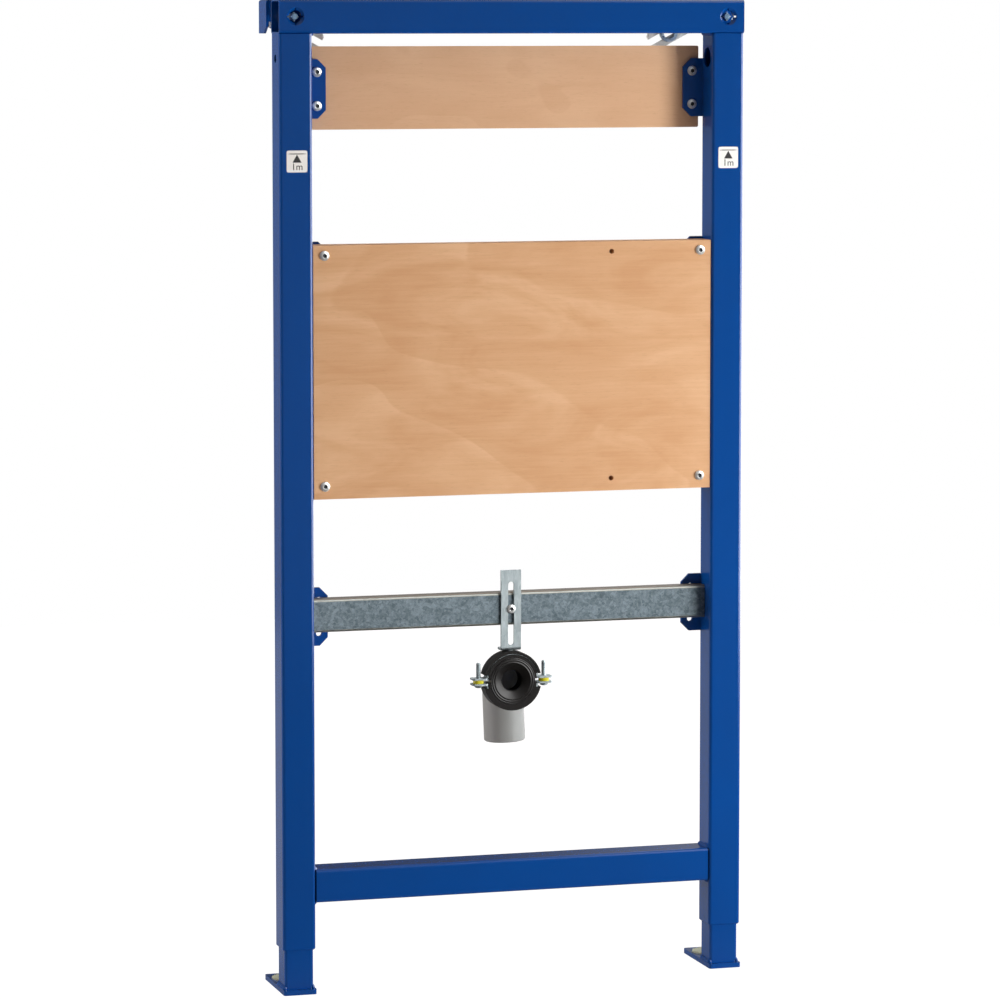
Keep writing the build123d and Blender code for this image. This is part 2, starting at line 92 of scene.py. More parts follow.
class SinkFrameFinish(bpy.types.PropertyGroup):
    """Colours of the frame's finishes."""

    paint: colour("Paint", "Blue powder coat of the steel tubes", tone(3, 70, 147))
    beech_light: colour("Light beech", "Palest tone of the beech face", tone(225, 183, 143))
    beech_dark: colour("Dark beech", "Deepest tone of the beech face", tone(209, 161, 119))
    galvanised_dull: colour("Dull zinc", "Dark crystals of the galvanised rail", tone(90, 103, 110))
    galvanised_bright: colour("Bright zinc", "Bright crystals of the galvanised rail", tone(138, 151, 158))
    plating_dull: colour("Dull plating", "Clouded patches of the zinc plating", tone(146, 156, 159))
    plating_bright: colour("Bright plating", "Clear patches of the zinc plating", tone(188, 197, 199))
    rubber: colour("Rubber", "Clamp lining and drain seal", tone(20, 18, 17))
    drain_grey: colour("Drain grey", "Moulded drain bend", tone(151, 154, 153))
    spacer_yellow: colour("Spacer yellow", "Moulded spacers of the clamp", tone(208, 200, 30))
    # Painted shade: the dark colour of the discs on the floor of the bolts' sockets.
    socket_dark: colour("Dark socket", "Floor of the bolts' sockets", tone(30, 32, 36))
    fork_pale: colour("Pale zinc", "Palest zinc of the forks and bolts", tone(244, 247, 246))
    washer_dull: colour("Dull washer", "Dark tone of the washers and wall rods", tone(120, 150, 178))
    washer_bright: colour("Bright washer", "Bright tone of the washers and wall rods", tone(206, 222, 232))
    # Painted highlights: the pale lines along the rail's bends.
    bend_pale: colour("Pale bend", "Bright lines along the rail's bends", tone(176, 174, 163))
    bend_brown: colour("Brown edge", "Dull upper edge of the rail", tone(112, 103, 92))
    beech_pale: colour("Pale beech", "Paler face of the upper board", tone(226, 188, 156))
    disc_grey: colour("Disc grey", "Moulded discs on the foot plates", tone(178, 184, 160))
    label_white: colour("Label white", "Face of the metre labels", tone(255, 255, 252))
    label_ink: colour("Label ink", "Print of the metre labels", tone(24, 22, 22))


class SinkFrameSizes(bpy.types.PropertyGroup):
    """Sizes of the small fittings."""

    hole_inset: length("Hole inset", "From an upright's inner face to the tab's screw holes", 0.014)
    hole_pitch: length("Hole pitch", "Between the two screw holes of a tab", 0.040)
    board_top_inset: length("Top bolt inset", "From the main board's top edge to its upper bolts", 0.012)
    board_bottom_inset: length("Bottom bolt inset", "From the main board's lower edge to its bolts", 0.015)
    bolt_head: length("Bolt head", "Diameter of the button heads on the boards", 0.0118)
    strap_bolt_head: length("Strap bolt head", "Diameter of the button head on the strap", 0.0108)
    bolt_shank: length("Bolt shank", "Diameter of the bolts' shanks", 0.006)
    nut_flats: length("Nut", "Width across the flats of the nuts", 0.010)
    rail_wall: length("Rail wall", "Thickness of the rail's sheet", 0.002)
    weld: length("Weld", "Leg of the weld beads", 0.003)
    weld_drop: length("Weld drop", "Radius of the weld drops at the feet's front corners", 0.0018)
    weld_ripple: length("Weld ripple", "Length of one ripple of a weld bead", 0.0022)
    label_width: length("Label width", "Width of the metre labels", 0.025)
    label_height: length("Label height", "Height of the metre labels", 0.0257)
    metre_mark: length("Metre mark", "Height of the labels' line above the floor", 1.0)
    rod: length("Rod", "Diameter of the wall rods", 0.008)
    rod_pitch: length("Rod pitch", "Pitch of the wall rods' thread", 0.00125)
    clamp_bolt: length("Clamp bolt", "Diameter of the clamp bolts", 0.006)
    clamp_pitch: length("Clamp pitch", "Pitch of the clamp bolts' thread", 0.001)


class SinkFrameStudio(bpy.types.PropertyGroup):
    """Camera and light."""

    camera_place: FloatVectorProperty(
        name="Camera", description="Place of the camera", subtype="XYZ", unit="LENGTH",
        default=(-1.5215, -5.1286, 1.1626),
    )
    camera_turn: amount("Turn", "Turn of the camera to the right", math.radians(16.512), subtype="ANGLE")
    camera_dip: amount("Dip", "Dip of the camera below level", math.radians(5.463), subtype="ANGLE")
    camera_lens: amount("Lens", "Focal length in millimetres", 160.22, min=1.0)
    camera_shift: amount("Shift", "Rise of the camera's frame", -0.06)
    key_power: amount("Key", "Power of the soft box on the right", 62.0, unit="POWER")
    fill_power: amount("Fill", "Power of the soft box on the left", 2.0, unit="POWER")
    ambient: amount("Ambient", "Light from the room", 0.08, min=0.0)
    warmth: colour("Warmth", "Tint of the room's light in the shade", (1.0, 0.64, 0.44))
    top_light: amount("Top light", "Light from the room's ceiling", 0.95, min=0.0)
    side_light: amount("Side light", "Light from the room's left wall", 5.30, min=0.0)
    wall_gloss: amount("Wall gloss", "Brightness of the right wall in a gloss", 8.0, min=0.0)


def finish_set():
    """Colours chosen in the panel."""
    return bpy.context.scene.sink_frame_finish


def size_set():
    """Sizes chosen in the panel."""
    return bpy.context.scene.sink_frame_sizes


def studio_set():
    """Camera and light chosen in the panel."""
    return bpy.context.scene.sink_frame_studio


# Surfaces


def regular(sides, turn=0.0):
    """Outline of a turned regular polygon: one over the cosine of the angle from the nearest flat's middle."""
    step = 2 * np.pi / sides

    def outline(angle):
        return 1 / np.cos((angle + turn + step / 2) % step - step / 2)

    return outline


def rounded_box(half_width, half_height, power):
    """Outline of a box with rounded corners: |x / a| to the power n plus |y / b| to the power n is one."""

    def outline(angle):
        across = (np.abs(np.cos(angle)) / half_width) ** power
        upward = (np.abs(np.sin(angle)) / half_height) ** power
        return (across + upward) ** (-1 / power)

    return outline


def rings(reach, height, base, axis):
    """Places a grid of radii round an axis: a row is a height along it, a column is an angle round it."""
    angle = np.arange(reach.shape[1]) * 2 * np.pi / reach.shape[1]
    first = ACROSS if abs(axis[0]) < 0.5 else BACK
    second = np.cross(axis, first)
    spoke = np.cos(angle)[:, None] * first + np.sin(angle)[:, None] * second
    return np.asarray(base) + height[:, None, None] * axis + reach[:, :, None] * spoke


def turned(stations, base, axis, outline=None, columns=48):
    """Lathe surface: station i is a ring of radius r at height h, and a share s of it follows the outline."""
    radius, height, share = np.array(stations, float).T
    angle = np.arange(columns) * 2 * np.pi / columns
    shape = outline(angle) if outline else np.ones(columns)
    reach = radius[:, None] * (1 + share[:, None] * (shape - 1))
    return rings(reach, height, base, np.asarray(axis, float))


def drum(radius, low, high, share=0):
    """Stations of a closed drum: from the middle of one end, round the rim, to the middle of the other."""
    return [(0, low, share), (radius, low, share), (radius, high, share), (0, high, share)]


def plate(outline, thickness, base, axis, columns=96):
    """Flat plate: a drum of radius one that follows an outline."""
    return turned(drum(1, 0, thickness, 1), base, axis, outline, columns)


def threaded(bottom, top, diameter, pitch, base, axis, columns=20, rows_per_turn=6):
    """Screw thread: the radius falls from the crest by a triangle wave of height over pitch less angle."""
    depth, end_depth = 0.55 * pitch, 0.9
    rows = int(rows_per_turn * (top - bottom) / pitch) + 1
    height = np.linspace(bottom, top, rows)
    angle = np.arange(columns) / columns
    phase = (height[:, None] / pitch - angle) % 1
    fade = np.clip(np.minimum(height - bottom, top - height) / pitch, 0, 1)[:, None]
    reach = diameter / 2 - depth * (fade * np.abs(2 * phase - 1) + (1 - fade) * end_depth)
    ends = np.zeros((1, columns))
    reach = np.concatenate([ends, reach, ends])
    height = np.concatenate([height[:1], height, height[-1:]])
    return rings(reach, height, base, np.asarray(axis, float))


def bead(start, end, leg_a, leg_b, ripple, seed, columns=10):
    """Weld bead in a corner: a quarter round between two legs, carried along a line and closed at the corner.

    Its size swells once a ripple by a rectified sine, wanders a little and falls to nothing at both ends."""
    start, end, leg_a, leg_b = (np.asarray(v, float) for v in (start, end, leg_a, leg_b))
    distance = np.linalg.norm(end - start)
    rows = int(8 * distance / ripple) + 2
    along = np.linspace(0, 1, rows)
    wave = np.abs(np.sin(np.pi * along * distance / ripple + seed))
    wander = 0.06 * np.sin(9 * along + 2 * seed) + 0.05 * np.sin(23 * along + seed)
    taper = np.clip(np.minimum(along, 1 - along) * distance / np.linalg.norm(leg_a), 0, 1) ** 0.5
    swell = (0.88 + 0.12 * wave + wander) * taper
    angle = np.linspace(0, np.pi / 2, columns)
    quarter = np.cos(angle)[:, None] * leg_a + np.sin(angle)[:, None] * leg_b
    section = np.concatenate([np.zeros((1, 3)), quarter])
    line = start + along[:, None] * (end - start)
    return line[:, None, :] + swell[:, None, None] * section


def grid_mesh(name, grids):
    """One mesh from grids of points, each closed round its columns, with poles and seams merged."""
    corners, quads, first = [], [], 0
    for grid in grids:
        rows, columns = grid.shape[:2]
        index = first + np.arange(rows * columns).reshape(rows, columns)
        beside = np.roll(index, -1, axis=1)
        quads.append(np.stack([index[:-1], beside[:-1], beside[1:], index[1:]], axis=-1).reshape(-1, 4))
        corners.append(grid.reshape(-1, 3))
        first += rows * columns
    mesh = bpy.data.meshes.new(name)
    mesh.from_pydata(np.concatenate(corners), [], np.concatenate(quads))
    merge(mesh)
    return mesh


def make_piece(name, grids, finish, body, crease=35.0):
    """A piece made of grids of points."""
    return add_piece(name, grid_mesh(name, grids), finish, body, crease)


def merge(mesh, gap=2e-6):
    """Merges points that lie together and turns the faces outwards."""
    work = bmesh.new()
    work.from_mesh(mesh)
    bmesh.ops.remove_doubles(work, verts=work.verts, dist=gap)
    bmesh.ops.dissolve_degenerate(work, edges=work.edges, dist=gap)
    bmesh.ops.recalc_face_normals(work, faces=work.faces)
    work.to_mesh(mesh)
    work.free()


def add_object(name, data):
    """Puts data in the scene as an object."""
    made = bpy.data.objects.new(name, data)
    bpy.context.scene.collection.objects.link(made)
    return made


def add_piece(name, mesh, finish, body, crease):
    """Puts a mesh in the scene with its finish, smooth up to the crease angle, on its body."""
    mesh.polygons.foreach_set("use_smooth", np.ones(len(mesh.polygons), dtype=bool))
    mesh.set_sharp_from_angle(angle=math.radians(crease))
    mesh.materials.append(finish_of(finish))
    piece = add_object(name, mesh)
    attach(piece, body)
    return piece


# Shader groups and finishes


class NodeBench:
    """Short forms for placing and joining shader nodes in one tree."""

    def __init__(self, tree):
        self.tree = tree

    def feed(self, inputs, values):
        """Joins inputs to other sockets or sets them, by name or in order; a colour is opaque."""
        for key, value in values.items() if isinstance(values, dict) else enumerate(values):
            if isinstance(value, bpy.types.NodeSocket):
                self.tree.links.new(value, inputs[key])
            else:
                inputs[key].default_value = (*value, 1.0) if inputs[key].type == "RGBA" else value

    def node(self, kind, values=(), **settings):
        """A new node with its settings and its inputs."""
        made = self.tree.nodes.new(f"ShaderNode{kind}")
        for key, value in settings.items():
            setattr(made, key, value)
        self.feed(made.inputs, values)
        return made

    def math(self, operation, *values):
        """A math node whose inputs are numbers or sockets."""
        return self.node("Math", values, operation=operation).outputs[0]

    def times(self, *values):
        """The product of values."""
        return reduce(partial(self.math, "MULTIPLY"), values)

    def plus(self, *values):
        """The sum of values."""
        return reduce(partial(self.math, "ADD"), values)

    def coordinates(self, kind="Object"):
        """The piece's own coordinates, or another kind."""
        return self.node("TexCoord").outputs[kind]

    def axes(self, vector):
        """The three parts of a vector."""
        return self.node("SeparateXYZ", (vector,)).outputs

    def noise(self, vector, scale, detail=2.0, distortion=0.0, roughness=0.5):
        """The factor of a noise texture."""
        values = {"Vector": vector, "Scale": scale, "Detail": detail, "Roughness": roughness}
        return self.node("TexNoise", {**values, "Distortion": distortion}).outputs["Fac"]

    def spread(self, value, low, high, to_low=0.0, to_high=1.0):
        """Maps one range of a value to another, clamped."""
        return self.node("MapRange", (value, low, high, to_low, to_high)).outputs["Result"]

    def stretch(self, vector, scale):
        """A vector scaled along its axes."""
        return self.node("Mapping", {"Vector": vector, "Scale": scale}).outputs["Vector"]

    def between(self, share, first, second):
        """A value between two."""
        return self.node("Mix", {0: share, 2: first, 3: second}, data_type="FLOAT").outputs[0]

    def mix(self, share, first, second):
        """A colour between two."""
        return self.node("Mix", {0: share, 6: first, 7: second}, data_type="RGBA").outputs[2]

    def ramp(self, value, stops):
        """A value that follows stops of position and level."""
        made = self.node("ValToRGB", (value,))
        elements = made.color_ramp.elements
        elements.remove(elements[1])
        for number, (position, level) in enumerate(stops):
            stop = elements[0] if number == 0 else elements.new(position)
            stop.position = position
            stop.color = (level, level, level, 1.0)
        return made.outputs["Color"]


class FinishBench(NodeBench):
    """Bench of a new material, with its shader and the piece's own coordinates."""

    def __init__(self, name):
        self.material = bpy.data.materials.new(name)
        self.material.use_nodes = True
        super().__init__(self.material.node_tree)
        self.shader = self.tree.nodes["Principled BSDF"].inputs
        self.place = self.coordinates()

    def give(self, name, value):
        """Feeds one of the shader's sockets."""
        self.feed(self.shader, {name: value})

    def given(self, name):
        """What feeds one of the shader's sockets."""
        return self.shader[name].links[0].from_socket

    def tint(self, share, rgb):
        """Lays a colour over the shader's own, by a share."""
        self.give("Base Color", self.mix(share, self.given("Base Color"), rgb))

    def dent(self, height, strength, depth):
        """Feeds the shader's normal from a height."""
        made = self.node("Bump", {"Strength": strength, "Distance": depth, "Height": height})
        self.give("Normal", made.outputs["Normal"])

    def wear(self, tree, place, gloss, bump, settings):
        """Places a shader group and feeds the shader's colour, roughness and normal from it."""
        values = {"Vector": place, "Gloss low": gloss[0], "Gloss high": gloss[1], **settings}
        group = self.node("Group", values, node_tree=tree)
        self.give("Base Color", group.outputs["Colour"])
        self.give("Roughness", group.outputs["Roughness"])
        self.dent(group.outputs["Height"], *bump)


def darker(rgb, share):
    """A share of a colour."""
    return tuple(share * v for v in rgb)


def shader_group(name, colours, values):
    """An empty node group for a worn skin: its bench, what it is given and its result's inputs."""
    tree = bpy.data.node_groups.new(name, "ShaderNodeTree")

    def add(way, kind, labels):
        for label in labels:
            tree.interface.new_socket(label, in_out=way, socket_type=f"NodeSocket{kind}")

    add("INPUT", "Vector", ("Vector",))
    add("INPUT", "Color", colours)
    add("INPUT", "Float", (*values, "Gloss low", "Gloss high"))
    add("OUTPUT", "Color", ("Colour",))
    add("OUTPUT", "Float", ("Roughness", "Height"))
    bench = NodeBench(tree)
    return bench, tree.nodes.new("NodeGroupInput").outputs, tree.nodes.new("NodeGroupOutput").inputs


def finish_group(bench, given, result, colour, gloss, height):
    """Joins a group's colour, gloss and height to its output, the gloss between its two ends."""
    rough = bench.spread(*gloss, given["Gloss low"], given["Gloss high"])
    bench.feed(result, {"Colour": colour, "Roughness": rough, "Height": height})
    return bench.tree


@cache
def moulded_skin():
    """Skin of paint, rubber and plastic: soft clouds that shade a colour and vary the gloss, and a grain."""
    bench, given, result = shader_group("moulded skin", ("Colour", "Shade"), ("Cloud", "Grain"))
    clouds = bench.noise(given["Vector"], bench.math("DIVIDE", 1.0, given["Cloud"]), 3.0)
    grain = bench.noise(given["Vector"], bench.math("DIVIDE", 1.0, given["Grain"]), 2.0)
    shaded = bench.mix(bench.spread(clouds, 0.35, 0.65), given["Colour"], given["Shade"])
    return finish_group(bench, given, result, shaded, (clouds, 0.3, 0.7), grain)


@cache
def zinc_crystals():
    """Zinc coat: two sizes of crystal cell, each with its own brightness, under cloudy patches."""
    bench, given, result = shader_group("zinc crystals", ("Dull", "Bright"), ("Crystal", "Contrast"))
    place = given["Vector"]
    scale = bench.math("DIVIDE", 1.0, given["Crystal"])

    def cells(factor):
        values = {"Vector": place, "Scale": bench.times(scale, factor)}
        made = bench.node("TexVoronoi", values, feature="F1")
        return bench.node("SeparateColor", (made.outputs["Color"],)).outputs[0]

    patches = bench.noise(place, bench.times(scale, 0.22), 4.0, 0.6)
    streaks = bench.noise(place, bench.times(scale, 2.6), 3.0, 1.4)
    large, small = bench.times(cells(1.0), 0.40), bench.times(cells(2.3), 0.22)
    tones = bench.plus(large, small, bench.times(streaks, 0.38))
    centred = bench.times(bench.math("SUBTRACT", tones, 0.5), given["Contrast"])
    cloud = bench.spread(patches, 0.3, 0.7, -0.22, 0.22)
    share = bench.spread(bench.plus(centred, cloud, 0.5), 0.0, 1.0)
    crystals = bench.mix(share, given["Dull"], given["Bright"])
    return finish_group(bench, given, result, crystals, (tones, 0.2, 0.8), tones)


def moulded(name, rgb, shade, cloud, grain, gloss, bump):
    """A finish with the moulded skin: its colour, its darker share, its two sizes, its gloss and its bump."""
    bench = FinishBench(name)
    settings = {"Colour": rgb, "Shade": darker(rgb, shade), "Cloud": cloud, "Grain": grain}
    bench.wear(moulded_skin(), bench.place, gloss, bump, settings)
    return bench


def coated(name, dull, bright, crystal, contrast, gloss, bump=(0.05, 0.0001), run=1.0, metallic=1.0):
    """A metal with the zinc coat: its tones, its crystals, its gloss, its bump and its run upwards."""
    bench = FinishBench(name)
    settings = {"Dull": dull, "Bright": bright, "Crystal": crystal, "Contrast": contrast}
    bench.wear(zinc_crystals(), bench.stretch(bench.place, (1.0, 1.0, 1.0 / run)), gloss, bump, settings)
    bench.give("Metallic", metallic)
    return bench


PAINT_SKIN = {"shade": 0.92, "cloud": 0.16, "grain": 0.0022, "gloss": (0.13, 0.19), "bump": (0.04, 0.0003)}
RUBBER_SKIN = {"shade": 0.7, "cloud": 0.02, "grain": 0.0006, "bump": (0.12, 0.0002)}


def blue_paint():
    """Glossy powder coat with a faint orange peel."""
    return moulded("blue powder coat", finish_set().paint, **PAINT_SKIN)


def jointed_paint():
    """The powder coat of the bottom beam, with painted shade in the gap at its two ends beside the uprights."""
    paint = finish_set().paint
    bench = moulded("jointed powder coat", paint, **PAINT_SKIN)
    start, full = 0.0016, 0.0010
    end = float(span("bottom_beam")[1][0])
    # Painted shade: a dark band with almost no gloss at each end stands in for the shadow in the gap beside the
    # upright.
    across = bench.math("ABSOLUTE", bench.axes(bench.place)["X"])
    seam_shade = bench.spread(across, end - start, end - full)
    bench.tint(seam_shade, darker(paint, 0.10))
    bench.give("Specular IOR Level", bench.between(seam_shade, 0.5, 0.03))
    return bench


def beech_board():
    """Peeled beech: soft clouds, pale curved layers that end in a line, fine grain lines and short flecks."""
    colours = finish_set()
    bench = FinishBench("beech face")
    x, _, z = bench.axes(bench.place)

    def figure(scale, detail, distortion=0.0, roughness=0.5):
        """Noise drawn out along the board."""
        return bench.noise(bench.stretch(bench.place, scale), 1.0, detail, distortion, roughness)

    field = figure((2.4, 2.4, 4.2), 1.5, 0.7)
    clouds = figure((6.0, 6.0, 17.0), 3.0, 1.2, 0.55)
    lines = figure((14.0, 60.0, 420.0), 3.0, 0.3)
    flecks = figure((110.0, 110.0, 1500.0), 1.0)
    layers, slant_across, slant_up = 4.5, 2.2, 5.0
    slant = bench.plus(bench.times(x, slant_across), bench.times(z, slant_up))
    layer = bench.math("FRACT", bench.plus(bench.times(field, layers), slant))
    swell = bench.spread(layer, 0.30, 0.95, 0.0, 0.52)
    cut = bench.spread(layer, 0.95, 0.985, 1.0, 0.0)
    bands = bench.times(swell, cut, bench.spread(clouds, 0.38, 0.58, 0.30, 1.0))
    wide = bench.spread(clouds, 0.34, 0.66, 0.05, 0.62)
    fine = bench.spread(lines, 0.3, 0.7, -0.15, 0.15)
    drift = bench.spread(x, -0.25, 0.25, -0.04, 0.04)
    share = bench.spread(bench.plus(wide, bands, fine, drift), 0.0, 1.0)
    bench.give("Base Color", bench.mix(share, colours.beech_dark, colours.beech_light))
    bench.tint(bench.spread(z, 0.95, 1.0, 0.0, 0.45), colours.beech_pale)
    bench.tint(bench.spread(flecks, 0.62, 0.74, 0.0, 0.26), darker(colours.beech_dark, 0.74))
    bench.give("Roughness", bench.spread(lines, 0.3, 0.7, 0.50, 0.62))
    bench.give("Specular IOR Level", 0.22)
    bench.dent(bench.plus(lines, flecks), 0.10, 0.0002)
    return bench


def galvanised_steel():
    """Hot-dip galvanised sheet with visible crystals, painted highlights along its bends and a dull upper edge.
    """
    colours = finish_set()
    dull, bright = colours.galvanised_dull, colours.galvanised_bright
    bench = coated("galvanised sheet", dull, bright, 0.0030, 1.5, (0.42, 0.54), (0.10, 0.0002))
    low, high = span("support_rail")
    climb = bench.spread(bench.axes(bench.place)["Z"], float(low[2]), float(high[2]))
    # Painted highlights: pale lines along the lower and upper bends.
    lower_bend_highlight = ((0.0, 0.9), (0.06, 0.9), (0.08, 0.0))
    upper_bend_highlight = ((0.905, 0.0), (0.92, 0.8), (0.945, 0.8), (0.96, 0.0))
    bench.tint(bench.ramp(climb, lower_bend_highlight + upper_bend_highlight), colours.bend_pale)
    bench.tint(bench.spread(climb, 0.95, 0.97, 0.0, 0.9), colours.bend_brown)
    return bench


def zinc_plate():
    """Bright zinc plating, slightly clouded along its length."""
    dull, bright = finish_set().plating_dull, finish_set().plating_bright
    return coated("zinc plating", dull, bright, 0.0022, 1.0, (0.50, 0.60), run=4.0)


def fork_zinc():
    """Pale matt zinc of the forks, in grey clouds."""
    pale = finish_set().fork_pale
    dull, bright = darker(pale, 0.36), darker(pale, 0.94)
    return coated("pale zinc", dull, bright, 0.0060, 0.8, (0.50, 0.60), metallic=0.45)


def washer_zinc(name="blue zinc"):
    """Blue passivated zinc of the forks' washers."""
    colours = finish_set()
    return coated(name, colours.washer_dull, colours.washer_bright, 0.0030, 0.8, (0.26, 0.36))


def rod_zinc():
    """Blue passivated zinc of the wall rods, dull on their front ends."""
    bench = washer_zinc("rod zinc")
    full, stop = 0.0020, 0.0028
    end = float(span("left_wall_rod")[0][1])
    tip = bench.spread(bench.axes(bench.place)["Y"], end + full, end + stop, 1.0, 0.0)
    bench.tint(tip, darker(finish_set().washer_dull, 0.85))
    bench.give("Roughness", bench.between(tip, bench.given("Roughness"), 0.62))
    bench.give("Metallic", bench.between(tip, 1.0, 0.35))
    return bench


def bolt_zinc():
    """Bright zinc of the button-head bolts."""
    pale = finish_set().fork_pale
    dull = darker(pale, 0.8)
    return coated("bolt zinc", dull, pale, 0.0020, 0.5, (0.28, 0.36), (0.04, 0.0001), metallic=0.65)


def black_rubber():
    """Soft black rubber."""
    bench = moulded("black rubber", finish_set().rubber, gloss=(0.40, 0.56), **RUBBER_SKIN)
    bench.give("Specular IOR Level", 0.25)
    return bench


def seal_rubber():
    """Black rubber with painted shade in the neck behind its funnel, darker and with less gloss there."""
    black = finish_set().rubber
    bench = moulded("seal rubber", black, gloss=(0.34, 0.48), **RUBBER_SKIN)
    start, fade = 0.0058, 0.0015
    neck = float(span("drain_seal")[0][1]) + start
    # Painted shade: the neck behind the funnel is darkened and loses most of its gloss.
    neck_shade = bench.spread(bench.axes(bench.place)["Y"], neck, neck + fade)
    bench.tint(neck_shade, darker(black, 0.15))
    bench.give("Specular IOR Level", bench.between(neck_shade, 0.38, 0.04))
    return bench


def moulding(name, hue, *skin):
    """A plain moulded finish of a name, with one of the panel's colours and its skin."""

    def made():
        return moulded(name.replace("_", " "), getattr(finish_set(), hue), *skin)

    made.__name__ = name
    return made


# Painted shade: a dark matt finish for the discs that stand in for the shade in the bolts' sockets.
socket_shade = moulding("socket_shade", "socket_dark", 0.6, 0.004, 0.0006, (0.6, 0.7), (0.05, 0.0001))
grey_plastic = moulding("grey_plastic", "drain_grey", 0.93, 0.05, 0.0012, (0.32, 0.42), (0.03, 0.0002))
yellow_plastic = moulding("yellow_plastic", "spacer_yellow", 0.85, 0.01, 0.0008, (0.34, 0.46), (0.05, 0.0002))
pale_plastic = moulding("pale_plastic", "disc_grey", 0.86, 0.015, 0.0010, (0.40, 0.55), (0.06, 0.0002))
label_vinyl = moulding("label_vinyl", "label_white", 0.96, 0.012, 0.0015, (0.35, 0.45), (0.02, 0.0001))
label_print = moulding("label_print", "label_ink", 0.7, 0.004, 0.0008, (0.45, 0.60), (0.02, 0.0001))


@cache
def finish_of(maker):
    """The material of a finish, made on first use."""
    return maker().material


def dress(*makers):
    """Gives every solid of the finishes' slots its material; a finish is named for its slot."""
    slots = {maker.__name__: maker for maker in makers}
    for part in frame["record"]["subparts"]:
        if part["material_slot"] in slots:
            cover(part["node"], slots[part["material_slot"]])


def cover(node, maker):
    """Gives one solid a finish."""
    for place in frame["nodes"][node].material_slots:
        place.material = finish_of(maker)


def span(node):
    """Lowest and highest corner of a solid as arrays."""
    low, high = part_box(node)
    return np.array(low), np.array(high)


def turning(node):
    """Front middle, radius and depth of a solid that is turned about a level axis."""
    low, high = span(node)
    middle = (low + high) / 2
    return np.array((middle[0], low[1], middle[2])), (high[0] - low[0]) / 2, high[1] - low[1]


# Operators


class SINKFRAME_OT_paint_steelwork(bpy.types.Operator):
    """Gives the tubes, tabs, plates and brackets their blue powder coat"""

    bl_idname = "sink_frame.paint_steelwork"
    bl_label = "Paint Steelwork"

    def execute(self, context):
        dress(blue_paint)
        # The bottom beam's coat carries painted shade at its two ends.
        cover("bottom_beam", jointed_paint)
        return {"FINISHED"}


class SINKFRAME_OT_face_boards(bpy.types.Operator):
    """Gives both boards their beech face"""

    bl_idname = "sink_frame.face_boards"
    bl_label = "Face Boards"

    def execute(self, context):
        dress(beech_board)
        return {"FINISHED"}


class SINKFRAME_OT_plate_metal(bpy.types.Operator):
    """Gives the rail its galvanised coat and the fittings their zinc plating"""

    bl_idname = "sink_frame.plate_metal"
    bl_label = "Plate Metal"

    def execute(self, context):
        dress(galvanised_steel, zinc_plate)
        for _, word in SIDES:
            cover(f"{word}_fixing_arm", fork_zinc)
            cover(f"{word}_arm_washer", washer_zinc)
        return {"FINISHED"}


class SINKFRAME_OT_mould_plastics(bpy.types.Operator):
    """Gives the drain bend, spacers, discs and linings their plastic and rubber"""

    bl_idname = "sink_frame.mould_plastics"
    bl_label = "Mould Plastics"

    def execute(self, context):
        dress(black_rubber, grey_plastic, yellow_plastic, pale_plastic)
        return {"FINISHED"}


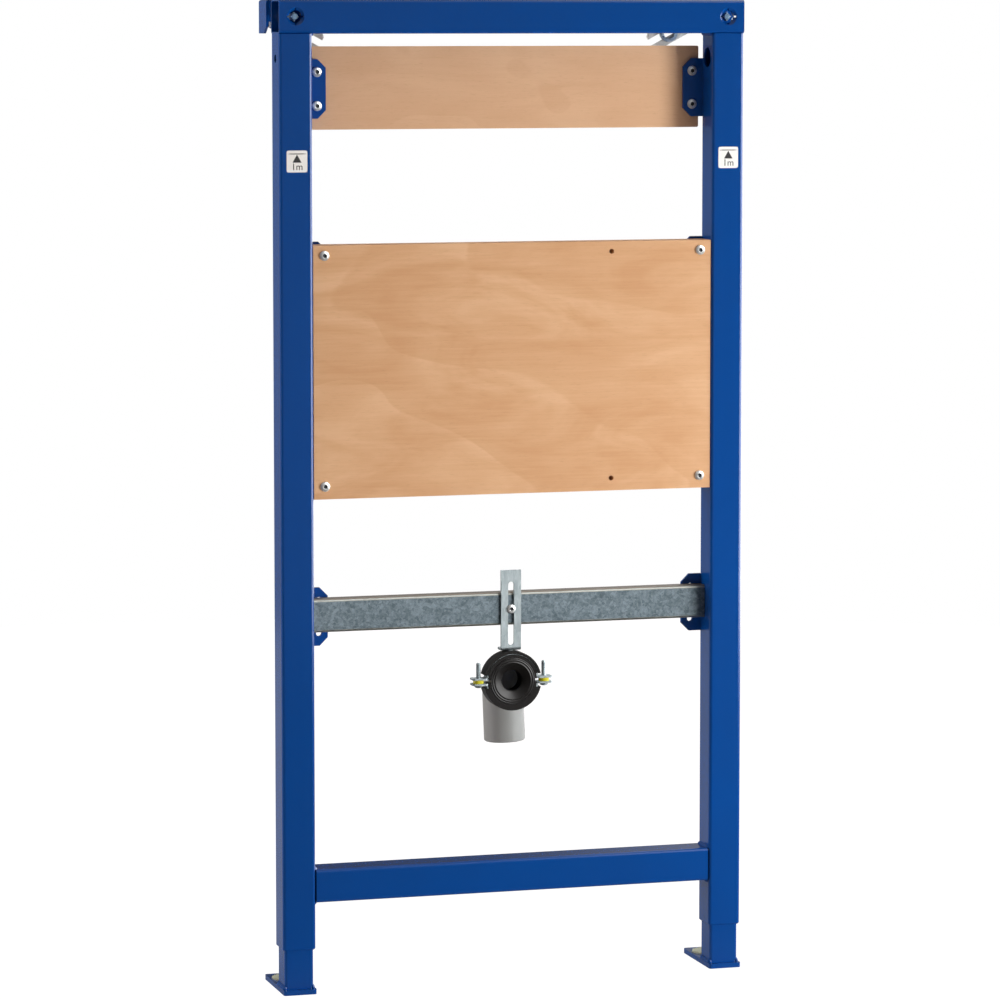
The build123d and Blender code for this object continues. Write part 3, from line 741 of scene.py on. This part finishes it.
class SINKFRAME_OT_board_bolts(bpy.types.Operator):
    """Adds the button-head bolts of the boards and of the strap, with their nuts and painted shade in their
    sockets
    """

    bl_idname = "sink_frame.board_bolts"
    bl_label = "Board Bolts"

    def add_bolt(self, bolts, shade_discs, x, z, front, rear, head):
        """Head with a hexagon socket in front of a seat, a dark disc of painted shade on the socket's floor,
        and a shank with a nut behind it.
        """
        sizes = size_set()
        base, behind = np.array((x, front, z)), np.array((x, rear, z))
        half, rise, socket = head / 2, 0.28 * head, 0.20 * head
        dome = [(half * math.cos(a), rise * (0.25 + 0.75 * math.sin(a)), 0) for a in np.linspace(0, 1.12, 9)]
        head_rings = [
            (0, 0, 0), (0.97 * half, 0, 0), (half, 0.1 * rise, 0), *dome, (1.12 * socket, 0.97 * rise, 0.6),
            (socket, 0.92 * rise, 1), (socket, 0.25 * rise, 1), (0, 0.15 * rise, 1),
        ]
        sunk = 0.0005
        shank = drum(sizes.bolt_shank / 2, -sunk, rear - front)
        flats, nut, bolt_end = sizes.nut_flats / 2, 0.5 * sizes.nut_flats, 0.0015
        nut_rings = [
            (0, 0, 1), (0.94 * flats, 0, 0.3), (flats, 0.08 * nut, 1), (flats, 0.92 * nut, 1),
            (0.94 * flats, nut, 0.3), (0, nut, 1),
        ]
        tip = rear + nut + bolt_end
        bolts += [
            turned(head_rings, base, -BACK, regular(6)),
            turned(shank, base, BACK),
            turned(nut_rings, behind, BACK, regular(6)),
            threaded(0.0, tip - rear, sizes.bolt_shank, sizes.clamp_pitch, behind, BACK),
        ]
        # Painted shade: a dark disc part way down the socket stands in for the shade at its bottom.
        floor = drum(0.96 * socket, 0.3 * rise, 0.6 * rise, 1)
        shade_discs.append(turned(floor, base, -BACK, regular(6)))

    def execute(self, context):
        sizes = size_set()
        tabs, board, rail = span("upper_board_tabs"), span("main_board"), span("support_rail")
        column = tabs[1][0] - sizes.hole_inset
        middle = (tabs[0][2] + tabs[1][2]) / 2
        upper_rear, main_rear = span("upper_board")[1][1], span("main_board_tabs")[1][1]
        bolts, strap_bolt, shade_discs = [], [], []
        for side, _ in SIDES:
            x = side * column
            for row in (-0.5, 0.5):
                z = middle + row * sizes.hole_pitch
                self.add_bolt(bolts, shade_discs, x, z, tabs[0][1], upper_rear, sizes.bolt_head)
            for z in (board[1][2] - sizes.board_top_inset, board[0][2] + sizes.board_bottom_inset):
                self.add_bolt(bolts, shade_discs, x, z, board[0][1], main_rear, sizes.bolt_head)
        seat_gap = 0.0001
        front, rear = span("slotted_strap")[0][1] - seat_gap, rail[0][1] + sizes.rail_wall
        z = (rail[0][2] + rail[1][2]) / 2
        self.add_bolt(strap_bolt, shade_discs, 0.0, z, front, rear, sizes.strap_bolt_head)
        make_piece("board_bolts", bolts, bolt_zinc, "frame")
        make_piece("strap_bolt", strap_bolt, bolt_zinc, "frame")
        # The dark discs in the sockets are painted shade.
        make_piece("bolt_sockets", shade_discs, socket_shade, "frame")
        return {"FINISHED"}


class SINKFRAME_OT_weld_beads(bpy.types.Operator):
    """Adds the weld beads of the beams, tabs and foot plates"""

    bl_idname = "sink_frame.weld_beads"
    bl_label = "Weld Beads"

    def execute(self, context):
        leg, ripple = size_set().weld, size_set().weld_ripple
        top, bottom = span("top_beam"), span("bottom_beam")
        inner = bottom[1][0]
        corners = ((top, 0, -leg * UP), (bottom, 1, leg * UP), (bottom, 0, -leg * UP))
        beads = []
        for side, _ in SIDES:
            for number, (beam, face, climb) in enumerate(corners):
                start = (side * inner, beam[0][1] + leg, beam[face][2])
                end = (side * inner, beam[1][1] - leg, beam[face][2])
                beads.append(bead(start, end, -side * leg * ACROSS, climb, ripple, 1.3 * number + side))
            for tabs in ("upper_board_tabs", "main_board_tabs", "rail_tabs"):
                beads += self.tab_beads(tabs, side, inner)
        make_piece("frame_welds", beads, blue_paint, "frame")
        for _, word in SIDES:
            make_piece(f"{word}_foot_weld", self.foot_beads(word), blue_paint, f"{word}_foot")
        return {"FINISHED"}

    def tab_beads(self, node, side, inner):
        """Beads behind the tabs of one upright, a stitch at each end of every tab."""
        ripple = size_set().weld_ripple
        low, high = span(node)
        tab_height, stitch, inset, leg = 0.07, 0.022, 0.003, 0.0024
        sunk_aside, sunk_back = 0.001, 0.0012
        x, y = side * (inner + sunk_aside), high[1] - sunk_back
        bottoms = [low[2]] if high[2] - low[2] < 2 * tab_height else [low[2], high[2] - tab_height]
        made = []
        for bottom in bottoms:
            for z in (bottom + inset, bottom + tab_height - inset - stitch):
                made.append(bead((x, y, z), (x, y, z + stitch), -side * leg * ACROSS, leg * BACK, ripple, z))
        return made

    def foot_beads(self, word):
        """Beads along both sides and the back of a foot tube, and a drop at each of its front corners."""
        sizes = size_set()
        low, high = span(f"{word}_foot_tube")
        plate_high = span(f"{word}_foot_plate")[1]
        floor, room = plate_high[2], plate_high[0] - high[0]
        inset, climb = 0.001, 1.5 * sizes.weld * UP
        made = []
        for edge, way in ((low[0], -1), (high[0], 1)):
            start, end = (edge, low[1] + inset, floor), (edge, high[1] - inset, floor)
            made.append(bead(start, end, way * 0.92 * room * ACROSS, climb, sizes.weld_ripple, edge))
        start, end = (low[0] + inset, high[1], floor), (high[0] - inset, high[1], floor)
        made.append(bead(start, end, sizes.weld * BACK, sizes.weld * UP, sizes.weld_ripple, 0.4))
        size, aside, back, rise = sizes.weld_drop, 0.0004, 0.0006, 0.0012
        sweep = np.linspace(-np.pi / 2, np.pi / 2, 13)
        drop = [(size * math.cos(a), 1.5 * size * math.sin(a), 0) for a in sweep]
        for x in (low[0] + aside, high[0] - aside):
            made.append(turned(drop, (x, low[1] + back, floor + rise), UP, None, 24))
        return made


class SINKFRAME_OT_metre_labels(bpy.types.Operator):
    """Adds a metre label to the front of each upright"""

    bl_idname = "sink_frame.metre_labels"
    bl_label = "Metre Labels"

    def letters(self, name, text, height, middle, lift):
        """Raised print: a text outline made a mesh, then scaled to its height and placed on the label."""
        curve = bpy.data.curves.new(name, "FONT")
        curve.body = text
        curve.extrude = 0.02
        holder = add_object(name, curve)
        bpy.context.view_layer.update()
        mesh = bpy.data.meshes.new_from_object(holder.evaluated_get(bpy.context.evaluated_depsgraph_get()))
        bpy.data.objects.remove(holder)
        bpy.data.curves.remove(curve)
        flat = np.empty(3 * len(mesh.vertices))
        mesh.vertices.foreach_get("co", flat)
        flat = flat.reshape(-1, 3)
        low, high = flat.min(axis=0), flat.max(axis=0)
        scale = height / (high[1] - low[1])
        centred = (flat - (low + high) / 2) * scale
        thick = lift * centred[:, 2] / np.abs(centred[:, 2]).max()
        placed = np.asarray(middle) + centred[:, :1] * ACROSS + centred[:, 1:2] * UP - thick[:, None] * BACK
        mesh.vertices.foreach_set("co", placed.ravel())
        merge(mesh)
        return add_piece(name, mesh, label_print, "frame", 30.0)

    def execute(self, context):
        sizes = size_set()
        mark, half_width, half_height = sizes.metre_mark, sizes.label_width / 2, sizes.label_height / 2
        sheet, lift, corner, crease = 0.00018, 0.00006, 14, 30.0
        top_margin, line_half, line_inset = 0.0040, 0.00045, 0.0001
        triangle, triangle_gap = 0.0052, 0.0009
        text_height, text_aside, text_drop = 0.0076, 0.0009, 0.0150
        asides = {"left": 0.0007, "right": 0.0002}
        for _, word in SIDES:
            low, high = span(f"{word}_upright")
            x, face = (low[0] + high[0]) / 2 + asides[word], low[1] - sheet
            middle = np.array((x, low[1], mark + top_margin - half_height))
            label = plate(rounded_box(half_width, half_height, corner), sheet, middle, -BACK)
            make_piece(f"{word}_metre_label", [label], label_vinyl, "frame", crease)
            outline = rounded_box(half_width - line_inset, line_half, corner)
            line = plate(outline, lift, np.array((x, face, mark)), -BACK)
            point = np.array((x, face, mark - triangle_gap - 1.18 * triangle))
            pointer = turned(drum(0.60 * triangle, 0, lift, 1), point, -BACK, regular(3, math.pi / 2), 120)
            marks = [line, pointer]
            make_piece(f"{word}_metre_mark", marks, label_print, "frame", crease)
            text_middle = (x + text_aside, face - lift / 2, mark - text_drop)
            self.letters(f"{word}_metre_text", "1m", text_height, text_middle, lift / 2)
        return {"FINISHED"}


class SINKFRAME_OT_wall_rods(bpy.types.Operator):
    """Replaces the wall rods with threaded ones"""

    bl_idname = "sink_frame.wall_rods"
    bl_label = "Wall Rods"

    def execute(self, context):
        sizes = size_set()
        tip, drive, square, drive_end = 0.0040, 0.0030, 0.0040, 0.0080
        head, sunk, edge, bevel = 0.002, 0.0003, 0.0004, 0.0012
        for _, word in SIDES:
            base, disc, total = turning(f"{word}_wall_rod")
            tip_rings = [
                (0, sunk, 0), (0.6 * tip, 0, 0), (0.9 * tip, edge, 0), (tip, bevel, 0), (tip, drive, 0),
                (0, drive, 0),
            ]
            drive_rings = [
                (0, drive - sunk, 1), (0.9 * square, drive - sunk, 1), (square, drive + edge, 1),
                (square, drive_end, 1), (0, drive_end, 1),
            ]
            head_rings = [
                (0, total - head, 0), (disc, total - head, 0), (disc, total - edge, 0), (0.96 * disc, total, 0),
                (0, total, 0),
            ]
            shapes = [
                turned(tip_rings, base, BACK),
                turned(drive_rings, base, BACK, regular(4, math.pi / 4)),
                threaded(drive_end, total - head, sizes.rod, sizes.rod_pitch, base, BACK),
                turned(head_rings, base, BACK),
            ]
            rod = make_piece(f"{word}_threaded_rod", shapes, rod_zinc, f"{word}_anchor")
            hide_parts(f"{word}_wall_rod")
        return {"FINISHED"}


class SINKFRAME_OT_clamp_bolts(bpy.types.Operator):
    """Replaces the clamp bolts with threaded ones under pan heads"""

    bl_idname = "sink_frame.clamp_bolts"
    bl_label = "Clamp Bolts"

    def execute(self, context):
        sizes = size_set()
        low, high = span("clamp_bolts")
        spacer_low, spacer_high = span("clamp_spacers")
        reach = spacer_high[0] - (spacer_high[1] - spacer_low[1]) / 2
        middle_y, top = (low[1] + high[1]) / 2, high[2] - low[2]
        pan, head, crown = 0.0049, 0.0040, 0.0002
        radius, thread_stop, end = sizes.clamp_bolt / 2, 0.0008, 0.0012
        dome = [(pan * math.cos(a), head * (0.55 - 0.5 * math.sin(a)), 0) for a in np.linspace(0, 1.3, 8)]
        head_rings = [(0, head, 0), (pan, head, 0), *dome, (0, crown, 0)]
        end_rings = [(0, top - end, 0), (0.86 * radius, top - end, 0), (0.7 * radius, top, 0), (0, top, 0)]
        shapes = []
        for side, _ in SIDES:
            base = np.array((side * reach, middle_y, low[2]))
            shapes.append(turned(head_rings, base, UP))
            shapes.append(threaded(head, top - thread_stop, sizes.clamp_bolt, sizes.clamp_pitch, base, UP))
            shapes.append(turned(end_rings, base, UP))
        bolts = make_piece("threaded_clamp_bolts", shapes, zinc_plate, "drain")
        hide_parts("clamp_bolts")
        return {"FINISHED"}


class SINKFRAME_OT_drain_seal(bpy.types.Operator):
    """Replaces the drain seal with a softly rounded one"""

    bl_idname = "sink_frame.drain_seal"
    bl_label = "Drain Seal"

    def execute(self, context):
        base, outer, depth = turning("drain_seal")
        flange, sleeve_radius, sleeve_inner, sleeve_end = 0.0018, 0.025, 0.0228, 0.0168
        lip, neck, neck_wall, funnel, flare = 0.0222, 0.0125, 0.0022, 0.0065, 1.15
        edge, rim, front_gap, lip_gap = 0.0006, 0.0007, 0.0001, 0.0004
        grooves, groove_depth = 2, 0.00045
        face = np.linspace(outer - edge, lip, 40)
        groove = groove_depth * (1 - np.cos(2 * np.pi * grooves * (outer - face) / (outer - lip))) / 2
        front = [(r, front_gap + g, 0) for r, g in zip(face, groove)]
        slope = np.linspace(0, 1, 24)
        bell = neck + (lip - neck) * (1 - slope) ** flare
        throat = [(r, lip_gap + (funnel - lip_gap) * s ** flare, 0) for r, s in zip(bell, slope)]
        stations = [
            (sleeve_radius, flange, 0), (outer, flange, 0), (outer, rim, 0), *front, *throat,
            (neck, depth - edge, 0), (neck + edge, depth, 0), (neck + neck_wall, depth, 0),
            (neck + neck_wall, funnel + neck_wall, 0), (sleeve_inner, flange + 2 * neck_wall, 0),
            (sleeve_inner, sleeve_end, 0), (sleeve_radius, sleeve_end, 0), (sleeve_radius, flange, 0),
        ]
        shape = turned(stations, base, BACK, None, 96)
        seal = make_piece("moulded_drain_seal", [shape], seal_rubber, "drain", 40.0)
        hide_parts("drain_seal")
        return {"FINISHED"}


class SINKFRAME_OT_stage(bpy.types.Operator):
    """Adds the pale floor, the soft boxes, the room light and the camera"""

    bl_idname = "sink_frame.stage"
    bl_label = "Stage"

    def execute(self, context):
        self.floor()
        self.room()
        self.lamps()
        self.camera()
        context.scene.view_settings.view_transform = "Standard"
        return {"FINISHED"}

    def either(self, bench, share, first, second):
        """A shader that goes from one to another by a share."""
        return bench.node("MixShader", (share, first.outputs[0], second.outputs[0]))

    def floor(self):
        """Round pale floor: rings of growing radius on the ground."""
        radius, rows, columns = 3.2, 12, 96
        plain_grey, faint_grey, glow_strength = (0.75, 0.75, 0.75), (0.22, 0.22, 0.22), 0.94
        reach = np.linspace(0, radius, rows)[:, None] * np.ones((1, columns))
        mesh = grid_mesh("floor", [rings(reach, np.zeros(rows), (0, 0, 0), UP)])
        material = bpy.data.materials.new("pale floor")
        material.use_nodes = True
        bench = NodeBench(material.node_tree)
        material.node_tree.nodes.clear()
        y = bench.axes(bench.coordinates())["Y"]
        plain = bench.node("BsdfDiffuse", {"Color": plain_grey})
        faint = bench.node("BsdfDiffuse", {"Color": faint_grey})
        glow = bench.node("Emission", {"Strength": glow_strength})
        shine = bench.node("Emission", {"Strength": bench.spread(y, -0.3, 0.3, 0.05, 0.40)})
        lit = bench.node("AddShader", (faint.outputs[0], glow.outputs[0]))
        path = bench.node("LightPath").outputs
        seen = bench.math("MAXIMUM", path["Is Camera Ray"], path["Is Transmission Ray"])
        soft = self.either(bench, path["Is Glossy Ray"], plain, shine)
        bench.node("OutputMaterial", (self.either(bench, seen, soft, lit).outputs[0],))
        mesh.materials.append(material)
        floor = add_object("floor", mesh)

    def room(self):
        """White room: white to the camera, lit from its left wall, with a bright right wall in a gloss."""
        studio = studio_set()
        world = bpy.data.worlds.new("studio")
        bpy.context.scene.world = world
        world.use_nodes = True
        bench = NodeBench(world.node_tree)
        world.node_tree.nodes.clear()
        path = bench.node("LightPath").outputs
        x, y, z = bench.axes(bench.coordinates("Generated"))
        near_panels = ((0.05, 0.0), (0.11, 1.0), (0.36, 1.0), (0.43, 0.45))
        far_panels = ((0.52, 0.45), (0.60, 0.8), (0.88, 0.5), (0.97, 0.1))
        right = bench.ramp(bench.spread(y, -1.0, 1.0), near_panels + far_panels)
        reach = bench.times(bench.spread(x, 0.28, 0.45), bench.spread(z, -0.20, -0.14))
        wall = bench.times(right, studio.wall_gloss, reach)
        ahead = bench.times(bench.spread(y, -0.80, -0.92), bench.spread(z, -0.20, -0.13))
        veil = bench.times(bench.spread(x, 0.22, 0.36, 0.26, 0.03), ahead)
        behind = bench.times(bench.spread(y, -0.1, 0.5, 0.1, 1.0), bench.spread(x, -0.15, 0.20, 0.22, 0.10))
        above = bench.times(bench.spread(z, 0.30, 0.75), bench.spread(x, 0.22, 0.34, 0.50, 0.05))
        gloss = bench.plus(bench.math("MAXIMUM", behind, above), veil, wall)
        left = bench.times(bench.spread(x, -0.95, -0.65, 1.0, 0.0), bench.spread(y, -0.25, 0.05))
        over = bench.spread(z, 0.60, 0.95)
        soft = bench.between(left, bench.between(over, studio.ambient, studio.top_light), studio.side_light)
        seen_gloss = bench.math("MAXIMUM", path["Is Glossy Ray"], path["Is Transmission Ray"])
        lit = bench.between(seen_gloss, soft, gloss)
        direct = bench.math("MAXIMUM", path["Is Camera Ray"], seen_gloss)
        plain = bench.math("MAXIMUM", direct, bench.math("MAXIMUM", left, over))
        tint = bench.mix(plain, studio.warmth, (1, 1, 1))
        strength = bench.between(path["Is Camera Ray"], lit, 1.0)
        light = bench.node("Background", {"Color": tint, "Strength": strength})
        bench.node("OutputWorld", light.outputs[:1])

    def lamps(self):
        """Large soft boxes, each with its place, target, width and height: a key on the right, a weak fill."""
        studio = studio_set()
        boxes = (
            ("key_box", (1.95, -1.65, 0.38), (0.0, 0.0, -0.30), 0.7, 0.7, studio.key_power),
            ("fill_box", (-2.2, -1.6, 1.3), (0.0, 0.0, 0.6), 1.6, 2.0, studio.fill_power),
        )
        for name, place, target, width, height, power in boxes:
            lamp = bpy.data.lights.new(name, "AREA")
            lamp.shape = "RECTANGLE"
            lamp.size, lamp.size_y = width, height
            lamp.energy = power
            holder = add_object(name, lamp)
            holder.location = place
            holder.rotation_euler = (Vector(target) - Vector(place)).to_track_quat("-Z", "Y").to_euler()
            holder.visible_camera = False
            holder.visible_glossy = False

    def camera(self):
        """Camera to the left of the frame, turned to the right and dipped."""
        studio = studio_set()
        data = bpy.data.cameras.new("camera")
        data.sensor_width = 36.0
        data.lens = studio.camera_lens
        data.shift_y = studio.camera_shift
        holder = add_object("camera", data)
        holder.location = studio.camera_place
        holder.rotation_euler = (math.pi / 2 - studio.camera_dip, 0.0, -studio.camera_turn)
        bpy.context.scene.camera = holder


OPERATORS = (
    SINKFRAME_OT_paint_steelwork,
    SINKFRAME_OT_face_boards,
    SINKFRAME_OT_plate_metal,
    SINKFRAME_OT_mould_plastics,
    SINKFRAME_OT_board_bolts,
    SINKFRAME_OT_weld_beads,
    SINKFRAME_OT_metre_labels,
    SINKFRAME_OT_wall_rods,
    SINKFRAME_OT_clamp_bolts,
    SINKFRAME_OT_drain_seal,
    SINKFRAME_OT_stage,
)


class SINKFRAME_PT_panel(bpy.types.Panel):
    """Lists the frame's finishes, sizes, light and operators"""

    bl_idname = "SINKFRAME_PT_panel"
    bl_label = "Sink Frame"
    bl_space_type = "VIEW_3D"
    bl_region_type = "UI"
    bl_category = "Sink Frame"

    def draw(self, context):
        for group in (finish_set(), size_set(), studio_set()):
            box = self.layout.box()
            for key in type(group).__annotations__:
                box.prop(group, key)
        for operator in OPERATORS:
            self.layout.operator(operator.bl_idname)


GROUPS = {
    "sink_frame_finish": SinkFrameFinish,
    "sink_frame_sizes": SinkFrameSizes,
    "sink_frame_studio": SinkFrameStudio,
}
CLASSES = (*GROUPS.values(), *OPERATORS, SINKFRAME_PT_panel)


def register():
    for item in CLASSES:
        bpy.utils.register_class(item)
    for key, group in GROUPS.items():
        setattr(bpy.types.Scene, key, PointerProperty(type=group))


def unregister():
    for key in GROUPS:
        delattr(bpy.types.Scene, key)
    for item in reversed(CLASSES):
        bpy.utils.unregister_class(item)


def main():
    """Builds the dressed frame and its stage."""
    register()
    bpy.ops.sink_frame.paint_steelwork()
    bpy.ops.sink_frame.face_boards()
    bpy.ops.sink_frame.plate_metal()
    bpy.ops.sink_frame.mould_plastics()
    bpy.ops.sink_frame.board_bolts()
    bpy.ops.sink_frame.weld_beads()
    bpy.ops.sink_frame.metre_labels()
    bpy.ops.sink_frame.wall_rods()
    bpy.ops.sink_frame.clamp_bolts()
    bpy.ops.sink_frame.drain_seal()
    bpy.ops.sink_frame.stage()


if __name__ == "__main__":
    main()
